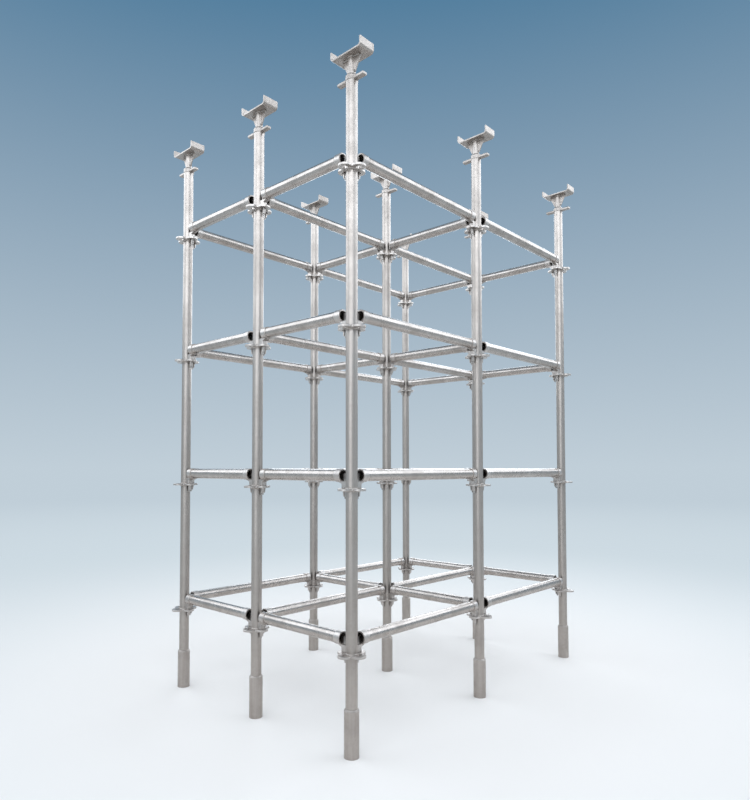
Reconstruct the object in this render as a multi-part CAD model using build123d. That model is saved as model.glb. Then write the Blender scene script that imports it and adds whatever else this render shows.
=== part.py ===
from build123d import *
import os

os.makedirs("parts", exist_ok=True)

# Ring lock scaffold tower: a grid of standards, joined at every level by wedge locked ledgers.
# Millimetres, +Z up. The origin is on the ground, in the middle of the grid of standards.
# X runs along the long bays and Y along the short ones.

# --- Grid ---
COLUMNS = 3                 # standards along X
ROWS = 3                    # standards along Y
BAY_X = 915.0               # spacing of the standards along X
BAY_Y = 600.0               # spacing of the standards along Y
LEVELS = 4                  # rosettes on each standard
FIRST_ROSETTE = 395.0       # ground to the middle of the lowest rosette
ROSETTE_SPACING = 645.0     # rosette to rosette
TUBE_ABOVE_ROSETTE = 360.0  # top rosette to the end of the standard

# --- Standard tube ---
TUBE_OD = 48.3
TUBE_WALL = 3.2

# --- Base sleeve ---
SLEEVE_OD = 60.3
SLEEVE_HEIGHT = 183.0
SOCKET_DEPTH = 90.0         # open stretch under the end of the standard
SOCKET_PLAY = 0.5           # between the sleeve's bore and a tube of the standard's size
SLEEVE_CHAMFER = 2.0

# --- Rosette ---
ROSETTE_THICKNESS = 9.0
ROSETTE_CHAMFER = 1.0
ROSETTE_HUB = 33.0          # radius of the solid middle that the four ears grow from
EAR_RADIUS = 28.5
EAR_CIRCLE = 39.0           # radius of the circle that the middles of the ears sit on
EAR_NOTCH = 5.0             # radius in the notch between two ears
HOLE_CIRCLE = 38.5          # radius of the circle that the four holes sit on
HOLE_DEPTH = 22.0           # size of a hole along the radius
HOLE_WIDTH = 18.0
HOLE_CORNER = 5.0

# --- Ledger tube and ledger head ---
LEDGER_OD = 48.3
LEDGER_WALL = 3.2
LEDGER_RISE = 56.0          # rosette's mid-plane up to the ledger's axis
COLLAR_OD = 54.0
COLLAR_LENGTH = 30.0
COLLAR_LIP = 8.0            # stop in the collar that the ledger tube butts on
MOUTH_GAP = 23.0            # standard's surface to the open mouth of the collar
MOUTH_CHAMFER = 1.2
HEAD_WIDTH = 22.0
HEAD_CHAMFER = 1.5
LEDGE_DROP = 22.0           # ledger's axis down to the ledge in front of the mouth
WEB_REACH = 70.0            # standard's axis to the end of the web under the collar
WEB_FOOT = 3.0              # web's lower corner above the collar's underside
WAIST_REACH = 47.0          # standard's axis to the outer face of the waist
WAIST_TOP = 22.0            # above the rosette's mid-plane
TONGUE_WIDTH = 14.0         # the tongue hangs from the waist through a hole of the rosette
TONGUE_INNER = 36.0         # standard's axis to the tongue's inner face
TONGUE_REACH = 46.0         # standard's axis to its outer face, at the rosette
TONGUE_TOE = 42.0           # and at its foot
TONGUE_DROP = 24.0          # how far it hangs below the rosette

# --- Wedge ---
WEDGE_THICKNESS = 6.4
WEDGE_INNER = 29.5          # standard's axis to the wedge's inner face
WEDGE_WIDTH = 12.6          # at the top
WEDGE_TOE_WIDTH = 7.0       # at the bottom
WEDGE_TOP = 64.0            # top and bottom, from the rosette's mid-plane
WEDGE_BOTTOM = -38.0
WEDGE_CORNER = 2.0

# --- Screw jack ---
SCREW_OD = 32.0
SCREW_WALL = 4.5
SCREW_LENGTH = 600.0
NUT_HEIGHT = 26.0
NUT_OD = 52.0
NUT_CHAMFER = 1.5
NUT_SHOULDER = 8.0          # rounding of the nut's top
WING_SPAN = 146.0
WING_WIDTH = 25.0
WING_HEIGHT = 12.0
WING_RISE = 1.0             # wings' underside above the nut's foot
WING_CORNER = 4.0
WING_EDGE = 2.0
HEAD_ABOVE_NUT = 72.0       # nut's top up to the U-head's underside

# --- U-head ---
U_LENGTH = 168.0            # along Y, over the flanges
U_WIDTH = 80.0              # along X
U_HEIGHT = 39.0             # underside up to the top of a flange
U_PLATE = 6.0
U_BEND = 9.0                # inner radius of the bends
GUSSET_REACH = 48.0         # screw's axis to the gusset's outer corner
GUSSET_HEIGHT = 62.0
GUSSET_THICKNESS = 6.0
GUSSET_NOSE = 5.0           # blunt edge at each end of a gusset

# --- Clearances ---
WELD_FIT = 0.1              # radial gap that a weld closes
JAW_FIT = 0.35              # head to standard, and around a wedge
RUNNING_GAP = 0.3           # between the jack's moving pieces

# --- Sizes that follow from those above ---
TUBE_R = TUBE_OD / 2
TUBE_FOOT = SOCKET_DEPTH
TUBE_TOP = FIRST_ROSETTE + (LEVELS - 1) * ROSETTE_SPACING + TUBE_ABOVE_ROSETTE
MOUTH = TUBE_R + MOUTH_GAP
LEDGER_START = MOUTH + COLLAR_LIP
LEDGER_BORE = LEDGER_OD - 2 * LEDGER_WALL
NUT_FOOT = TUBE_TOP + RUNNING_GAP
PLATE_UNDERSIDE = NUT_FOOT + NUT_HEIGHT + HEAD_ABOVE_NUT

ROW_NAMES = "abcdefgh"
POSTS = [
    (f"{ROW_NAMES[row]}{column + 1}",
     (column - (COLUMNS - 1) / 2) * BAY_X,
     (row - (ROWS - 1) / 2) * BAY_Y)
    for row in range(ROWS)
    for column in range(COLUMNS)
]
ROSETTE_HEIGHTS = [FIRST_ROSETTE + level * ROSETTE_SPACING for level in range(LEVELS)]


def pipe(outer_diameter, wall, length):
    """A tube that stands on the XY plane."""
    ring = Circle(outer_diameter / 2) - Circle(outer_diameter / 2 - wall)
    return extrude(ring, length)


def lay_along_x(shape):
    """Turn a shape that stands along Z so that it runs along +X."""
    return Rot(0, 90, 0) * shape


def standard_tube():
    return Pos(0, 0, TUBE_FOOT) * pipe(TUBE_OD, TUBE_WALL, TUBE_TOP - TUBE_FOOT)


def base_sleeve():
    """A wider tube, tight on the foot of the standard and open below it as a socket."""
    body = extrude(Circle(SLEEVE_OD / 2), SLEEVE_HEIGHT)
    body = chamfer(body.faces().sort_by(Axis.Z)[-1].edges(), SLEEVE_CHAMFER)
    socket = extrude(Circle(TUBE_R + SOCKET_PLAY), SOCKET_DEPTH)
    tube_seat = extrude(Circle(TUBE_R + WELD_FIT), SLEEVE_HEIGHT)
    return body - socket - tube_seat


def rosette():
    """A plate with four round ears on the X and Y axes, and a hole in each ear."""
    outline = Circle(ROSETTE_HUB)
    holes = Circle(TUBE_R + WELD_FIT)
    hole = RectangleRounded(HOLE_DEPTH, HOLE_WIDTH, HOLE_CORNER)
    for quarter in range(4):
        turn = Rot(0, 0, 90 * quarter)
        outline += turn * Pos(EAR_CIRCLE, 0) * Circle(EAR_RADIUS)
        holes += turn * Pos(HOLE_CIRCLE, 0) * hole
    outline = fillet(outline.vertices(), EAR_NOTCH)
    plate = extrude(outline, ROSETTE_THICKNESS / 2, both=True)
    plate = chamfer(plate.faces().filter_by(Axis.Z).edges(), ROSETTE_CHAMFER)
    return plate - extrude(holes, ROSETTE_THICKNESS, both=True)


def ledger_tube(bay):
    """The ledger's pipe between two standards, lying along +X from the first standard's axis."""
    length = bay - 2 * LEDGER_START
    return Pos(LEDGER_START, 0, LEDGER_RISE) * lay_along_x(pipe(LEDGER_OD, LEDGER_WALL, length))


def wedge_plate(play):
    """The tapered wedge with square corners, grown by some play all round."""
    side = Polyline(
        (WEDGE_INNER - play, WEDGE_TOP),
        (WEDGE_INNER + WEDGE_WIDTH + play, WEDGE_TOP),
        (WEDGE_INNER + WEDGE_TOE_WIDTH + play, WEDGE_BOTTOM),
        (WEDGE_INNER - play, WEDGE_BOTTOM),
        close=True,
    )
    return extrude(make_face(Plane.XZ * side), WEDGE_THICKNESS / 2 + play, both=True)


def wedge():
    """The flat wedge, driven down between the standard and the tongue of a head."""
    plate = wedge_plate(0)
    return fillet(plate.edges().filter_by(Axis.Y), WEDGE_CORNER)


def flat_casting(side, width):
    """A block with a side profile in the XZ plane and chamfered edges on both flanks."""
    block = extrude(make_face(Plane.XZ * side), width / 2, both=True)
    flanks = block.faces().filter_by(Axis.Y)
    return chamfer([edge for flank in flanks for edge in flank.edges()], HEAD_CHAMFER)


def ledger_head():
    """The cast head of a ledger that leaves the standard along +X, at the rosette's height."""
    seat = ROSETTE_THICKNESS / 2
    ledge = LEDGER_RISE - LEDGE_DROP
    web_foot = LEDGER_RISE - COLLAR_OD / 2 + WEB_FOOT
    waist = Polyline(
        (0, seat),
        (0, ledge),
        (MOUTH, ledge),
        (MOUTH, LEDGER_RISE - COLLAR_OD / 4),
        (WEB_REACH, LEDGER_RISE - COLLAR_OD / 4),
        (WEB_REACH, web_foot),
        (WAIST_REACH, WAIST_TOP),
        (WAIST_REACH, seat),
        close=True,
    )
    tongue = Polyline(
        (TONGUE_INNER, WAIST_TOP),
        (TONGUE_REACH, WAIST_TOP),
        (TONGUE_REACH, -seat),
        (TONGUE_TOE, -seat - TONGUE_DROP),
        (TONGUE_INNER, -seat - TONGUE_DROP),
        close=True,
    )
    collar = lay_along_x(extrude(Circle(COLLAR_OD / 2), COLLAR_LENGTH))
    mouth_face = collar.faces().sort_by(Axis.X)[0]
    collar = chamfer(mouth_face.edges(), MOUTH_CHAMFER)
    body = flat_casting(waist, HEAD_WIDTH) + flat_casting(tongue, TONGUE_WIDTH)
    body += Pos(MOUTH, 0, LEDGER_RISE) * collar

    socket_length = COLLAR_LENGTH - COLLAR_LIP
    tube_socket = lay_along_x(extrude(Circle(LEDGER_OD / 2 + WELD_FIT), socket_length))
    mouth_bore = lay_along_x(extrude(Circle(LEDGER_BORE / 2), COLLAR_LENGTH))
    body -= Pos(LEDGER_START, 0, LEDGER_RISE) * tube_socket
    body -= Pos(MOUTH, 0, LEDGER_RISE) * mouth_bore
    body -= wedge_plate(JAW_FIT)
    body -= Cylinder(TUBE_R + JAW_FIT, 4 * LEDGER_RISE)
    return body


def jack_nut():
    """A round nut with two straight wings, on the top end of the standard."""
    body = extrude(Circle(NUT_OD / 2), NUT_HEIGHT)
    foot = body.edges().filter_by(GeomType.CIRCLE).sort_by(Axis.Z)[0]
    body = chamfer(foot, NUT_CHAMFER)
    top = body.edges().filter_by(GeomType.CIRCLE).sort_by(Axis.Z)[-1]
    body = fillet(top, NUT_SHOULDER)
    wings = extrude(RectangleRounded(WING_WIDTH, WING_SPAN, WING_CORNER), WING_HEIGHT)
    wings = chamfer(wings.faces().filter_by(Axis.Z).edges(), WING_EDGE)
    body += Pos(0, 0, WING_RISE) * wings
    body -= Cylinder(SCREW_OD / 2 + RUNNING_GAP, 4 * NUT_HEIGHT)
    return Pos(0, 0, NUT_FOOT) * body


def jack_screw():
    """The jack's hollow threaded stem, hanging from the U-head into the standard."""
    return Pos(0, 0, PLATE_UNDERSIDE - SCREW_LENGTH) * pipe(SCREW_OD, SCREW_WALL, SCREW_LENGTH)


def u_head():
    """A plate bent up at both ends, with two gussets welded under it."""
    outer = Pos(0, U_HEIGHT / 2) * Rectangle(U_LENGTH, U_HEIGHT)
    outer = fillet(outer.vertices().sort_by(Axis.Y)[:2], U_BEND + U_PLATE)
    inner = Pos(0, U_PLATE + U_HEIGHT / 2) * Rectangle(U_LENGTH - 2 * U_PLATE, U_HEIGHT)
    inner = fillet(inner.vertices().sort_by(Axis.Y)[:2], U_BEND)
    head = extrude(Plane.YZ * (outer - inner), U_WIDTH / 2, both=True)
    gusset = Polyline(
        (0, 0),
        (GUSSET_REACH, 0),
        (GUSSET_REACH, -GUSSET_NOSE),
        (SCREW_OD / 2 + GUSSET_NOSE, -GUSSET_HEIGHT),
        (0, -GUSSET_HEIGHT),
        close=True,
    )
    gusset = extrude(make_face(Plane.YZ * gusset), GUSSET_THICKNESS / 2, both=True)
    gussets = gusset + Rot(0, 0, 180) * gusset
    stem_way = Cylinder(SCREW_OD / 2 + WELD_FIT, 2 * GUSSET_HEIGHT, align=(Align.CENTER, Align.CENTER, Align.MAX))
    return Pos(0, 0, PLATE_UNDERSIDE) * (head + (gussets - stem_way))


def solids_of(shape):
    return list(shape.solids())


def write(name, shapes):
    """One STEP file for a node, which may hold several separate solids."""
    solids = [solid for shape in shapes for solid in solids_of(shape)]
    node = solids[0] if len(solids) == 1 else Compound(children=solids)
    node.label = name
    export_step(node, f"parts/{name}.step")


def ledger_runs():
    """Each ledger of a level: its first standard's x and y, its direction and its bay."""
    for name, x, y in POSTS:
        if x + BAY_X / 2 < (COLUMNS - 1) / 2 * BAY_X:
            yield x, y, 0, BAY_X
        if y + BAY_Y / 2 < (ROWS - 1) / 2 * BAY_Y:
            yield x, y, 90, BAY_Y


def both_ends(piece, x, y, turn, bay):
    """A piece at the first standard of a ledger, and its twin at the second one."""
    start = Pos(x, y) * Rot(0, 0, turn)
    return [start * piece, start * Pos(bay, 0) * Rot(0, 0, 180) * piece]


tube = standard_tube()
disc = rosette()
sleeve = base_sleeve()
screw = jack_screw()
cradle = u_head()
nut = jack_nut()
for name, x, y in POSTS:
    place = Pos(x, y)
    write(f"standard_tube_{name}", [place * tube])
    write(f"rosettes_{name}", [place * Pos(0, 0, z) * disc for z in ROSETTE_HEIGHTS])
    write(f"jack_screw_{name}", [place * screw])
    write(f"u_head_{name}", [place * cradle])
    write(f"jack_nut_{name}", [place * nut])
for row in ROW_NAMES[:ROWS]:
    write(f"base_sleeves_row_{row}", [Pos(x, y) * sleeve for name, x, y in POSTS if name[0] == row])

pipes = {BAY_X: ledger_tube(BAY_X), BAY_Y: ledger_tube(BAY_Y)}
head = ledger_head()
key = wedge()
for level, z in enumerate(ROSETTE_HEIGHTS, start=1):
    runs = list(ledger_runs())
    tubes = [Pos(x, y, z) * Rot(0, 0, turn) * pipes[bay] for x, y, turn, bay in runs]
    heads = [Pos(0, 0, z) * piece for run in runs for piece in both_ends(head, *run)]
    keys = [Pos(0, 0, z) * piece for run in runs for piece in both_ends(key, *run)]
    write(f"ledger_tubes_level_{level}", tubes)
    write(f"ledger_heads_level_{level}", heads)
    write(f"wedges_level_{level}", keys)
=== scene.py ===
import math

import bmesh
import bpy
from mathutils import Matrix, Vector


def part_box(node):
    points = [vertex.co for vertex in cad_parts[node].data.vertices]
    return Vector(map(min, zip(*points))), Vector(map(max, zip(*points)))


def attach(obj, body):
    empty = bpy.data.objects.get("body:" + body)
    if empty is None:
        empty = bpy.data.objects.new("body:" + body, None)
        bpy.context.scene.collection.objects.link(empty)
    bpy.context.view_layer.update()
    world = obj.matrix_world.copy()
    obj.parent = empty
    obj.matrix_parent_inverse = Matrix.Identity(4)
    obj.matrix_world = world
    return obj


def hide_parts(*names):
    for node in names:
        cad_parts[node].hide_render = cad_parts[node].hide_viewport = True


# Ring lock scaffold tower: nine standards held by ledgers at four levels, with a screw jack on each.
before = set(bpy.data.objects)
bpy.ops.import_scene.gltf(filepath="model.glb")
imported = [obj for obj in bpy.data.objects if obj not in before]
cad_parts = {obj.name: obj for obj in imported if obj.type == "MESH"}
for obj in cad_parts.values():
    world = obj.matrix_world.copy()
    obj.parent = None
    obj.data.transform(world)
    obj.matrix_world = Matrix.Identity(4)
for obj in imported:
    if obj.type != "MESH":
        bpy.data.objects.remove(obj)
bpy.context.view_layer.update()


# --- Base sleeves ---
# The foot of each standard is a short wider steel tube, open below, so that it drops over the
# spigot of whatever carries it. It is welded to the standard round its top edge, and the whole
# standard is hot-dip galvanised after welding, so tube, sleeve and weld share one coat of zinc.

STANDARDS = sorted(name.split("_")[-1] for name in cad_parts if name.startswith("standard_tube_"))
ROWS = sorted({name[0] for name in STANDARDS})
TUBE_RADIUS = 0.02415
AXES = {}
for standard in STANDARDS:
    low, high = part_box(f"standard_tube_{standard}")
    AXES[standard] = Vector(((low.x + high.x) / 2, (low.y + high.y) / 2, 0))

UP = Vector((0, 0, 1))
BEAD_STEPS = 96                 # round a tube
BEAD_RIPPLES = 32               # one for each dip of the rod
RIPPLE_DEPTH = 0.07             # share of the bead's leg
BEAD_SINK = 0.15                # share of the leg that is buried in both parts
BEAD_SECTION = [
    # along the first face and along the second, in legs
    (-BEAD_SINK, -BEAD_SINK),
    (1.0, -BEAD_SINK),
    (0.93, 0.30),
    (0.67, 0.67),
    (0.30, 0.93),
    (-BEAD_SINK, 1.0),
]
QUICK_DRIFT = 0.37              # radians a spot, for the bead's uneven run
SLOW_DRIFT = 0.083
DRIFT_BY_HEIGHT = 31.0          # radians a metre, so that no two beads run alike
DRIFT_BY_PLACE = 17.0


class Value:
    """An output of a finish's node. Operators on it add the Math nodes."""

    def __init__(self, finish, socket):
        self.finish = finish
        self.socket = socket

    def math(self, operation, *others):
        sockets = dict(enumerate([self, *others]))
        return self.finish.node("ShaderNodeMath", {"operation": operation}, sockets)

    def __add__(self, other):
        return self.math("ADD", other)

    __radd__ = __add__

    def __mul__(self, other):
        return self.math("MULTIPLY", other)

    __rmul__ = __mul__

    def step(self, low, high):
        """0 below low and 1 above high, with a smooth rise between them."""
        settings = {"interpolation_type": "SMOOTHSTEP"}
        sockets = {0: self, 1: low, 2: high, 3: 0.0, 4: 1.0}
        return self.finish.node("ShaderNodeMapRange", settings, sockets)


class Finish:
    """The nodes of a material or of the world."""

    def __init__(self, owner):
        owner.use_nodes = True
        self.owner = owner
        self.tree = owner.node_tree
        self.tree.nodes.clear()

    def node(self, kind, settings=None, sockets=None, output=0):
        """Adds a node with its settings and sockets, and gives back one of its outputs."""
        made = self.tree.nodes.new(kind)
        for name, setting in (settings or {}).items():
            if name == "stops":
                elements = made.color_ramp.elements
                while len(elements) < len(setting):
                    elements.new(0.5)
                for element, (position, colour) in zip(elements, setting):
                    element.position = position
                    element.color = (*colour, 1.0)
            else:
                setattr(made, name, setting)
        for name, value in (sockets or {}).items():
            if isinstance(value, Value):
                self.tree.links.new(value.socket, made.inputs[name])
            elif isinstance(value, tuple) and made.inputs[name].type == "RGBA":
                made.inputs[name].default_value = (*value, 1.0)
            else:
                made.inputs[name].default_value = value
        return Value(self, made.outputs[output])

    def blend(self, first, second, share):
        """The first colour where share is 0 and the second where it is 1."""
        sockets = {0: share, 6: first, 7: second}
        return self.node("ShaderNodeMix", {"data_type": "RGBA"}, sockets, output=2)

    def place(self):
        """Where a point of the piece is when everything is at rest, in metres."""
        return self.node("ShaderNodeTexCoord", output="Object")

    def stretched(self, place, factors):
        """The place with each axis multiplied by its factor."""
        return self.node("ShaderNodeVectorMath", {"operation": "MULTIPLY"}, {0: place, 1: factors})

    def noise(self, place, scale, detail=2.0, roughness=0.5):
        sockets = {"Vector": place, "Scale": scale, "Detail": detail, "Roughness": roughness}
        return self.node("ShaderNodeTexNoise", {"normalize": True}, sockets)

    def parts(self, place):
        """The x, y and z of a place."""
        split = self.node("ShaderNodeSeparateXYZ", sockets={0: place}).socket.node
        return [Value(self, output) for output in split.outputs]

    def mix(self, share, first, second):
        """The first shader where share is 0 and the second where it is 1."""
        return self.node("ShaderNodeMixShader", {}, {0: share, 1: first, 2: second})

    def end(self, shader, kind="ShaderNodeOutputMaterial"):
        """Puts a shader on the output, and gives back the finished material or world."""
        output = self.tree.nodes.new(kind)
        self.tree.links.new(shader.socket, output.inputs["Surface"])
        return self.owner


ZINC_LIGHT = (0.45, 0.406, 0.375)
ZINC_DARK = (0.34, 0.302, 0.274)
SPANGLE = 0.011                 # width of a zinc crystal
WANDER_SCALE = 60.0             # waves of the coat, a metre
CLOUD_SCALE = 7.0               # dull patches, a metre
GRIT_SCALE = 900.0              # specks, a metre
CLOUD_ROUGHNESS = 0.6           # how ragged a patch's edge is
CLOUDS_START = 0.35             # noise below this is no patch, and above the next one a full patch
CLOUDS_FULL = 0.68
RUNS_START = 0.30               # the same for the runs
RUNS_FULL = 0.72
CLOUD_DARKENS = 0.42            # shares of the way from the light colour to the dark one
RUN_DARKENS = 0.38
CRYSTAL_DARKENS = 0.14
WANDER_DARKENS = 0.06
CLOUD_DULLS = 0.10              # what each adds to the roughness
CRYSTAL_DULLS = 0.06
GRIT_DULLS = 0.05
RUN_RISES = 0.35                # what each adds to the relief, in shares of its height
WANDER_RISES = 0.25
GRIT_RISES = 0.06
RELIEF_STRENGTH = 0.07
RELIEF_HEIGHT = 0.0006
METAL_SHARE = 0.88              # the rest is the dull salt on the zinc


def galvanised(
    name, grain, light=ZINC_LIGHT, dark=ZINC_DARK, dullness=0.27, lumps=0.5, spangle=SPANGLE
):
    """Hot-dip zinc. The runs that it leaves as it drains lie along the axis where grain is small."""
    finish = Finish(bpy.data.materials.new(name))
    place = finish.place()
    wander = finish.noise(place, WANDER_SCALE)
    crystals = finish.node(
        "ShaderNodeTexVoronoi",
        {"feature": "F1"},
        {"Vector": place, "Scale": 1 / spangle, "Randomness": 1.0},
        output="Color",
    )
    crystal = finish.node("ShaderNodeSeparateColor", {}, {0: crystals})
    clouds = finish.noise(place, CLOUD_SCALE, detail=4.0, roughness=CLOUD_ROUGHNESS)
    runs = finish.noise(finish.stretched(place, grain), 1.0, detail=3.0)
    grit = finish.noise(place, GRIT_SCALE, detail=2.0)
    cloudy = clouds.step(CLOUDS_START, CLOUDS_FULL)
    streak = runs.step(RUNS_START, RUNS_FULL)
    patches = cloudy * CLOUD_DARKENS + streak * RUN_DARKENS
    share = patches + crystal * CRYSTAL_DARKENS + wander * WANDER_DARKENS
    roughness = dullness + cloudy * CLOUD_DULLS + crystal * CRYSTAL_DULLS + grit * GRIT_DULLS
    height = streak * RUN_RISES + wander * WANDER_RISES + grit * lumps * GRIT_RISES
    sockets = {"Strength": RELIEF_STRENGTH, "Distance": RELIEF_HEIGHT, "Height": height}
    surface = {
        "Base Color": finish.blend(light, dark, share),
        "Roughness": roughness,
        "Metallic": METAL_SHARE,
        "Normal": finish.node("ShaderNodeBump", {}, sockets),
    }
    return finish.end(finish.node("ShaderNodeBsdfPrincipled", {}, surface))


def dress(node, material):
    """Gives a CAD node its finish."""
    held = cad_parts[node].data.materials
    held.clear()
    held.append(material)


def new_piece(name, mesh, material, body):
    """A smooth mesh as a piece of its own, which moves with a body."""
    data = bpy.data.meshes.new(name)
    bmesh.ops.recalc_face_normals(mesh, faces=mesh.faces)
    mesh.to_mesh(data)
    mesh.free()
    data.shade_smooth()
    data.materials.append(material)
    piece = bpy.data.objects.new(name, data)
    bpy.context.scene.collection.objects.link(piece)
    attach(piece, body)
    return piece


def lay_bead(mesh, spots, leg, closed):
    """Sweeps a fillet weld along spots: a corner point and the directions of the two faces it joins."""
    rings = []
    for number, (corner, out, up) in enumerate(spots):
        ripple = math.cos(2 * math.pi * number * BEAD_RIPPLES / BEAD_STEPS)
        quick = math.sin(number * QUICK_DRIFT + corner.z * DRIFT_BY_HEIGHT)
        drift = quick * math.sin(number * SLOW_DRIFT + corner.x * DRIFT_BY_PLACE)
        size = leg * (1 + RIPPLE_DEPTH * (ripple + drift))
        rings.append([mesh.verts.new(corner + (out * a + up * b) * size) for a, b in BEAD_SECTION])
    count = len(BEAD_SECTION)
    pairs = list(zip(rings, rings[1:]))
    if closed:
        pairs.append((rings[-1], rings[0]))
    for here, there in pairs:
        for side in range(count):
            after = (side + 1) % count
            mesh.faces.new((here[side], there[side], there[after], here[after]))
    if not closed:
        mesh.faces.new(rings[0])
        mesh.faces.new(rings[-1])


def round_spots(centre, axis, radius):
    """The spots of a bead that goes round a tube, on a face that the tube's axis leaves squarely."""
    across = axis.orthogonal().normalized()
    for number in range(BEAD_STEPS):
        out = Matrix.Rotation(2 * math.pi * number / BEAD_STEPS, 3, axis) @ across
        yield centre + out * radius, out, axis


sleeve_zinc = galvanised("zinc_on_sleeve", grain=(90, 90, 6), dullness=0.32, lumps=0.8)
weld_zinc = galvanised("zinc_on_weld", grain=(60, 60, 60), dullness=0.26, lumps=1.0, spangle=0.004)
SLEEVE_WELD = 0.0046
for row in ROWS:
    dress(f"base_sleeves_row_{row}", sleeve_zinc)
    sleeve_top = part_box(f"base_sleeves_row_{row}")[1].z
    mesh = bmesh.new()
    for standard in [name for name in STANDARDS if name[0] == row]:
        spots = list(round_spots(AXES[standard] + UP * sleeve_top, UP, TUBE_RADIUS))
        lay_bead(mesh, spots, SLEEVE_WELD, closed=True)
    new_piece(f"sleeve_welds_row_{row}", mesh, weld_zinc, "frame")


# --- Standard tubes ---
# Each standard is one straight steel tube from inside its sleeve to the jack nut. The zinc drains
# down it as it hangs out of the bath, so its faint runs lie along the tube.

tube_zinc = galvanised("zinc_on_standard", grain=(110, 110, 2.5), dullness=0.27)
for standard in STANDARDS:
    dress(f"standard_tube_{standard}", tube_zinc)


# --- Rosettes ---
# A rosette is punched from plate: four round ears with a hole in each, on a hub that is slipped over
# the tube and welded to it all round, above and below. Tube and rosettes are galvanised together.

ROSETTE_THICKNESS = 0.009
ROSETTE_WELD = 0.0042
low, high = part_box(f"rosettes_{STANDARDS[0]}")
LEVELS = sum(name.startswith("wedges_level_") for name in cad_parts)
SPACING = (high.z - low.z - ROSETTE_THICKNESS) / (LEVELS - 1)
PLANES = [low.z + ROSETTE_THICKNESS / 2 + SPACING * level for level in range(LEVELS)]

PAINTED_SHEEN_LIGHT = (0.57, 0.53, 0.50)       # painted sheen: a lighter zinc that stands in for the stronger glint of rosettes and castings
PAINTED_SHEEN_DARK = (0.41, 0.37, 0.345)
# The rosettes take the lighter zinc, a painted sheen for their brighter reflections.
plate_zinc = galvanised(
    "zinc_on_rosette",
    grain=(40, 40, 40),
    light=PAINTED_SHEEN_LIGHT,
    dark=PAINTED_SHEEN_DARK,
    dullness=0.25,
    lumps=1.0,
    spangle=0.008,
)
for standard in STANDARDS:
    dress(f"rosettes_{standard}", plate_zinc)
    mesh = bmesh.new()
    for plane in PLANES:
        for way in (1, -1):
            face = AXES[standard] + UP * (plane + way * ROSETTE_THICKNESS / 2)
            lay_bead(mesh, list(round_spots(face, UP * way, TUBE_RADIUS)), ROSETTE_WELD, closed=True)
    new_piece(f"rosette_welds_{standard}", mesh, weld_zinc, "frame")


# --- Ledger tubes ---
# The ledgers are the same tube, cut to the bay. Each end sits in the collar of its cast head and is
# welded to it all round.

COLLAR_END = 0.07715            # from the standard's axis
LEDGER_WELD = 0.0030
DIRECTIONS = [Vector((1, 0, 0)), Vector((0, 1, 0)), Vector((-1, 0, 0)), Vector((0, -1, 0))]
PROBE = 0.3                     # shorter than any bay
PLACE_DIGITS = 4                # digits of a metre, to tell one row of standards from the next
COLUMN_PLACES = sorted({round(axis.x, PLACE_DIGITS) for axis in AXES.values()})
ROW_PLACES = sorted({round(axis.y, PLACE_DIGITS) for axis in AXES.values()})


def ledger_ends():
    """The ledgers that leave each standard at a level: the standard's axis and the ledger's direction."""
    for axis in AXES.values():
        for way in DIRECTIONS:
            further = axis + way * PROBE
            inside_x = COLUMN_PLACES[0] <= further.x <= COLUMN_PLACES[-1]
            inside_y = ROW_PLACES[0] <= further.y <= ROW_PLACES[-1]
            if inside_x and inside_y:
                yield axis, way


# A lighter zinc for the ledgers: painted sheen that stands in for their brighter highlights.
LEDGER_SHEEN_LIGHT = (0.50, 0.455, 0.425)
ledger_zinc = galvanised("zinc_on_ledger", grain=(30, 30, 30), dullness=0.18, light=LEDGER_SHEEN_LIGHT)
for level in range(1, LEVELS + 1):
    dress(f"ledger_tubes_level_{level}", ledger_zinc)
    low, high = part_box(f"ledger_tubes_level_{level}")
    ledger_axis = (low.z + high.z) / 2
    mesh = bmesh.new()
    for axis, way in ledger_ends():
        end = axis + way * COLLAR_END + UP * ledger_axis
        lay_bead(mesh, list(round_spots(end, way, TUBE_RADIUS)), LEDGER_WELD, closed=True)
    new_piece(f"ledger_welds_level_{level}", mesh, weld_zinc, "frame")


# --- Ledger heads ---
# The head is cast steel: an open collar for the tube, a waist that stands on the rosette against the
# standard, and a tongue that hangs through the ear's hole. A way for the wedge runs down through it.

# The heads take the same lighter zinc, a painted sheen for their brighter reflections.
cast_zinc = galvanised(
    "zinc_on_casting",
    grain=(70, 70, 70),
    light=PAINTED_SHEEN_LIGHT,
    dark=PAINTED_SHEEN_DARK,
    dullness=0.30,
    lumps=1.6,
    spangle=0.006,
)
for level in range(1, LEVELS + 1):
    dress(f"ledger_heads_level_{level}", cast_zinc)


# --- Wedges ---
# Flat tapered steel keys, driven down by hammer between the standard and the tongue of the head.
# A small rivet through the toe keeps each one in its head when it is knocked loose.

WEDGE_HALF = 0.0032
TOE_OUT = 0.0330                # toe rivet's centre, from the standard's axis
TOE_DOWN = 0.0325               # and below the rosette's plane
TOE_RIVET = [(0.0024, -0.0005), (0.0024, 0.0012), (0.0018, 0.0020), (0.0008, 0.0023)]
TURNED_STEPS = 24
WEDGE_LIGHT = (0.54, 0.53, 0.52)


def turned(mesh, profile, centre, axis):
    """A round solid about axis, from (radius, height) points that start and end away from the axis."""
    across = axis.orthogonal().normalized()
    rings = []
    for radius, height in profile:
        ring = []
        for number in range(TURNED_STEPS):
            out = Matrix.Rotation(2 * math.pi * number / TURNED_STEPS, 3, axis) @ across
            ring.append(mesh.verts.new(centre + axis * height + out * radius))
        rings.append(ring)
    for here, there in zip(rings, rings[1:]):
        for number in range(TURNED_STEPS):
            after = (number + 1) % TURNED_STEPS
            mesh.faces.new((here[number], here[after], there[after], there[number]))
    mesh.faces.new(rings[0])
    mesh.faces.new(rings[-1])


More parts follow.
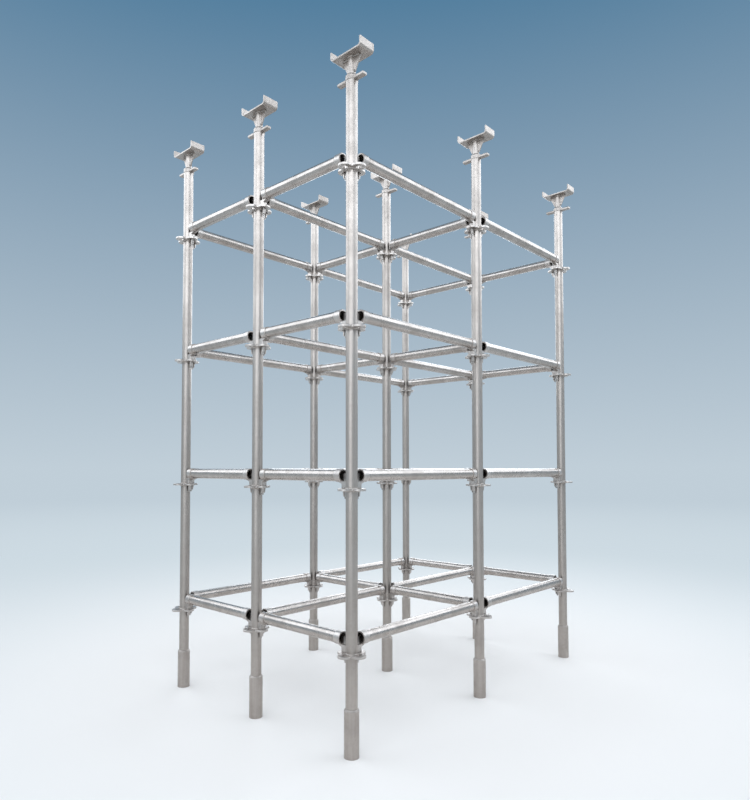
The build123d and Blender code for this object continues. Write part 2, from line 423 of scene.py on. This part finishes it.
wedge_zinc = galvanised("zinc_on_wedge", grain=(60, 60, 12), dullness=0.26, light=WEDGE_LIGHT)
for level, plane in enumerate(PLANES, start=1):
    dress(f"wedges_level_{level}", wedge_zinc)
    mesh = bmesh.new()
    for axis, way in ledger_ends():
        for side in (1, -1):
            face = way.cross(UP) * side
            toe = axis + way * TOE_OUT + UP * (plane - TOE_DOWN) + face * WEDGE_HALF
            turned(mesh, TOE_RIVET, toe, face)
    new_piece(f"wedge_rivets_level_{level}", mesh, wedge_zinc, "frame")


# --- Jack screws ---
# The screw is a thick tube with a coarse round thread rolled on it up to a plain shank, which is
# welded under the U-head. It hangs in the standard. Wound right down, it shows only its shank.

PITCH = 0.008
SHANK_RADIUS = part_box(f"jack_screw_{STANDARDS[0]}")[1].x - AXES[STANDARDS[0]].x
SHANK_LENGTH = 0.070
CREST = SHANK_RADIUS - 0.0002   # radius of the thread's top
FLANK = SHANK_RADIUS - 0.0005   # of the upper edge of its sides
ROOT = SHANK_RADIUS - 0.0018    # of its bottom
BORE = SHANK_RADIUS - 0.0045    # of the hole down the screw
THREAD_STEPS = 40
THREAD_PROFILE = [
    # share of the pitch, radius
    (0.00, ROOT),
    (0.14, ROOT),
    (0.34, FLANK),
    (0.43, CREST),
    (0.57, CREST),
    (0.66, FLANK),
    (0.86, ROOT),
]


def cut_square(mesh, height, way):
    """Cuts off what stands beyond a level, and gives back the edges of the opening that is left."""
    parts = mesh.verts[:] + mesh.edges[:] + mesh.faces[:]
    place, facing = UP * height, UP * way
    done = bmesh.ops.bisect_plane(mesh, geom=parts, plane_co=place, plane_no=facing, clear_outer=True)
    return [part for part in done["geom_cut"] if isinstance(part, bmesh.types.BMEdge)]


def sharp_ring(mesh, radius, height):
    """A ring of points about the axis, with its edges."""
    ring = []
    for number in range(THREAD_STEPS):
        angle = 2 * math.pi * number / THREAD_STEPS
        ring.append(mesh.verts.new((radius * math.cos(angle), radius * math.sin(angle), height)))
    edges = [mesh.edges.new((ring[number - 1], ring[number])) for number in range(THREAD_STEPS)]
    for edge in edges:
        edge.smooth = False
    return ring, edges


def join_rings(mesh, ring, other):
    """Closes the band between two rings."""
    for number in range(THREAD_STEPS):
        mesh.faces.new((ring[number - 1], ring[number], other[number], other[number - 1]))


def threaded_stem(axis, foot, top):
    """A hollow stem with a helical thread below a plain shank, as a closed mesh."""
    mesh = bmesh.new()
    shoulder = top - SHANK_LENGTH
    turns = math.ceil((shoulder - foot) / PITCH) + 2
    rows = []
    for number in range(turns * THREAD_STEPS + 1):
        angle = 2 * math.pi * number / THREAD_STEPS
        out = Vector((math.cos(angle), math.sin(angle), 0))
        climb = foot + PITCH * (number / THREAD_STEPS - 1)
        row = []
        for share, radius in THREAD_PROFILE:
            row.append(mesh.verts.new(out * radius + UP * (climb + share * PITCH)))
        rows.append(row)
    for number, (here, there) in enumerate(zip(rows, rows[1:])):
        for side in range(len(THREAD_PROFILE) - 1):
            mesh.faces.new((here[side], there[side], there[side + 1], here[side + 1]))
        if number + THREAD_STEPS + 1 < len(rows):
            above = rows[number + THREAD_STEPS][0], rows[number + THREAD_STEPS + 1][0]
            mesh.faces.new((here[-1], there[-1], above[1], above[0]))
    foot_rim = cut_square(mesh, foot, -1)
    shoulder_rim = cut_square(mesh, shoulder, 1)
    bore_foot, bore_foot_edges = sharp_ring(mesh, BORE, foot)
    bore_top = sharp_ring(mesh, BORE, top)[0]
    shank_foot, shank_foot_edges = sharp_ring(mesh, SHANK_RADIUS, shoulder)
    shank_top = sharp_ring(mesh, SHANK_RADIUS, top)[0]
    bmesh.ops.triangle_fill(mesh, edges=foot_rim + bore_foot_edges, use_beauty=True)
    bmesh.ops.triangle_fill(mesh, edges=shoulder_rim + shank_foot_edges, use_beauty=True)
    join_rings(mesh, shank_foot, shank_top)
    join_rings(mesh, shank_top, bore_top)
    join_rings(mesh, bore_top, bore_foot)
    bmesh.ops.translate(mesh, verts=mesh.verts, vec=axis)
    return mesh


screw_zinc = galvanised("zinc_on_screw", grain=(40, 40, 40), dullness=0.30, spangle=0.004)
for standard in STANDARDS:
    low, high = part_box(f"jack_screw_{standard}")
    mesh = threaded_stem(AXES[standard], low.z, high.z)
    stem = new_piece(f"threaded_stem_{standard}", mesh, screw_zinc, f"jack_{standard}")
    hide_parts(f"jack_screw_{standard}")


# --- Jack nuts ---
# The nut is a casting with a domed top and two straight wings to turn it by. It sits loose on the
# top end of the standard and carries the screw.

nut_zinc = galvanised("zinc_on_nut", grain=(50, 50, 50), dullness=0.34, lumps=1.5, spangle=0.006)
for standard in STANDARDS:
    dress(f"jack_nut_{standard}", nut_zinc)


# --- U-heads ---
# The cradle for a beam: one plate bent up at both ends, with two gussets that carry it from the
# stem. Plate, gussets and stem are welded together under the plate.

GUSSET_HALF = 0.003
GUSSET_REACH = 0.048
GUSSET_HEIGHT = 0.062
CRADLE_WELD = 0.0040
SPOT_STEP = 2 * math.pi * TUBE_RADIUS / BEAD_STEPS   # the same ripple as round a tube


def straight_spots(start, end, out, up):
    """The spots of a bead along a straight corner."""
    count = max(2, round((end - start).length / SPOT_STEP))
    for number in range(count + 1):
        yield start.lerp(end, number / count), out, up


cradle_zinc = galvanised("zinc_on_cradle", grain=(12, 60, 60), dullness=0.34, spangle=0.009)
for standard in STANDARDS:
    dress(f"u_head_{standard}", cradle_zinc)
    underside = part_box(f"jack_screw_{standard}")[1].z
    mesh = bmesh.new()
    corner = AXES[standard] + UP * underside
    lay_bead(mesh, list(round_spots(corner, -UP, SHANK_RADIUS)), CRADLE_WELD, closed=True)
    for along in (Vector((0, 1, 0)), Vector((0, -1, 0))):
        for side in (Vector((1, 0, 0)), Vector((-1, 0, 0))):
            inner = corner + along * SHANK_RADIUS + side * GUSSET_HALF
            outer = corner + along * (GUSSET_REACH - CRADLE_WELD) + side * GUSSET_HALF
            lay_bead(mesh, list(straight_spots(inner, outer, side, -UP)), CRADLE_WELD, closed=False)
            foot = inner - UP * (GUSSET_HEIGHT - CRADLE_WELD)
            lay_bead(mesh, list(straight_spots(inner, foot, side, along)), CRADLE_WELD, closed=False)
    new_piece(f"cradle_welds_{standard}", mesh, weld_zinc, f"jack_{standard}")


# --- Floor and backdrop ---
# A wide pale floor that runs into the pale backdrop without a line. The backdrop is a soft upright
# fade, and metal shows it too. It is no brighter than its colour.

FLOOR_RADIUS = 60.0
FLOOR_STEPS = 96
FLOOR_NEAR = 1.2                # the floor is plain up to here, and past the next one it is backdrop
FLOOR_FAR = 6.5
SKYLINE = 22.0                  # where the floor has the colour that the backdrop starts with
FLOOR_COLOUR = (0.81, 0.812, 0.815)
DISTANCE_PALE = (0.63, 0.72, 0.78)
HORIZON = (0.53, 0.62, 0.69)
ZENITH = (0.058, 0.183, 0.318)
CEILING = (0.55, 0.62, 0.68)
ZENITH_HEIGHT = 0.64            # sine of the height where the fade is darkest
PICTURE_RAYS = ("Is Camera Ray", "Is Glossy Ray", "Is Transmission Ray")
SKY_LEVEL = 0.18                # what the backdrop adds to the light on dull surfaces


def picture_rays(finish):
    """1 for what is seen, directly, in a reflection or through glass, and 0 for plain light."""
    light_path = finish.node("ShaderNodeLightPath").socket.node
    kinds = [Value(finish, light_path.outputs[name]) for name in PICTURE_RAYS]
    return (kinds[0] + kinds[1] + kinds[2]).math("MINIMUM", 1.0)


finish = Finish(bpy.data.materials.new("floor_paint"))
x, y = finish.parts(finish.place())[:2]
distance = (x * x + y * y).math("SQRT")
far_colour = finish.blend(DISTANCE_PALE, HORIZON, distance.step(FLOOR_NEAR, SKYLINE))
reach = distance.math("LOGARITHM", math.e).step(math.log(FLOOR_NEAR), math.log(FLOOR_FAR))
near_paint = finish.node("ShaderNodeBsdfDiffuse", {}, {"Color": FLOOR_COLOUR})
far_paint = finish.node("ShaderNodeEmission", {}, {"Color": far_colour, "Strength": 1.0})
floor_paint = finish.end(finish.mix(reach * picture_rays(finish), near_paint, far_paint))
mesh = bmesh.new()
bmesh.ops.create_circle(mesh, cap_ends=True, segments=FLOOR_STEPS, radius=FLOOR_RADIUS)
data = bpy.data.meshes.new("floor")
mesh.to_mesh(data)
mesh.free()
data.materials.append(floor_paint)
floor = bpy.data.objects.new("floor", data)
bpy.context.scene.collection.objects.link(floor)

world = bpy.data.worlds.new("backdrop")
bpy.context.scene.world = world
backdrop = Finish(world)
height = backdrop.parts(backdrop.node("ShaderNodeTexCoord", output="Generated"))[2]
fade = backdrop.node(
    "ShaderNodeValToRGB",
    {"stops": [(0.0, HORIZON), (ZENITH_HEIGHT, ZENITH), (1.0, CEILING)]},
    {"Fac": height},
)
plain = backdrop.node("ShaderNodeBackground", {}, {"Color": (1.0, 1.0, 1.0), "Strength": SKY_LEVEL})
picture = backdrop.node("ShaderNodeBackground", {}, {"Color": fade, "Strength": 1.0})
backdrop.end(backdrop.mix(picture_rays(backdrop), plain, picture), "ShaderNodeOutputWorld")


# --- Camera ---
# It stands in front of the corner standard at about a person's chest height, looking almost level.

EYE = Vector((-2.765, -2.365, 1.129))
TURN = math.radians(46.88)
TILT = math.radians(2.20)
LENS = 29.02                    # millimetres, on a frame 36 mm along its longer side
SHIFT_RIGHT = 0.0216            # shares of that side
SHIFT_UP = 0.0530
eye = bpy.data.cameras.new("eye")
eye.lens = LENS
eye.shift_x = SHIFT_RIGHT
eye.shift_y = SHIFT_UP
camera = bpy.data.objects.new("eye", eye)
camera.location = EYE
camera.rotation_euler = (math.pi / 2 + TILT, 0, -TURN)
bpy.context.scene.collection.objects.link(camera)
bpy.context.scene.camera = camera


# --- Lamps ---
# Large soft boxes: a low one in front and a ring of five that starts above the tower's waist. The
# dimmest one of the ring draws a darker line down the right of each tube.

LAMP_COLOUR = (0.91, 0.955, 1.0)
LAMPS = {
    # name: turn to the right of the camera as seen from the tower, height in degrees, distance,
    # width, height of box, brightness
    "front": (-12, 28, 6.75, 9.0, 3.0, 3.2),
    "low": (-22, 3, 6.5, 5.0, 2.8, 1.2),
    "left": (-98, 32, 6.75, 10.0, 4.0, 2.5),
    "gap": (48, 33, 6.75, 4.6, 3.0, 1.9),
    "right": (108, 34, 6.6, 9.0, 4.2, 2.6),
    "rear": (170, 20, 6.75, 5.5, 3.2, 3.6),
}
MIDDLE = Vector((0, 0, 1.5))
for name, (turn, rise, away, width, height, brightness) in LAMPS.items():
    back = math.pi + TURN - math.radians(turn)
    level = math.cos(math.radians(rise))
    out = Vector((math.sin(back) * level, math.cos(back) * level, math.sin(math.radians(rise))))
    lamp = bpy.data.lights.new(name, "AREA")
    lamp.shape = "RECTANGLE"
    lamp.size = width
    lamp.size_y = height
    lamp.energy = brightness * math.pi * width * height
    lamp.color = LAMP_COLOUR
    box = bpy.data.objects.new(name, lamp)
    box.location = MIDDLE + out * away
    box.rotation_euler = (-out).to_track_quat("-Z", "Y").to_euler()
    box.visible_camera = False
    bpy.context.scene.collection.objects.link(box)

bpy.context.scene.view_settings.view_transform = "Standard"
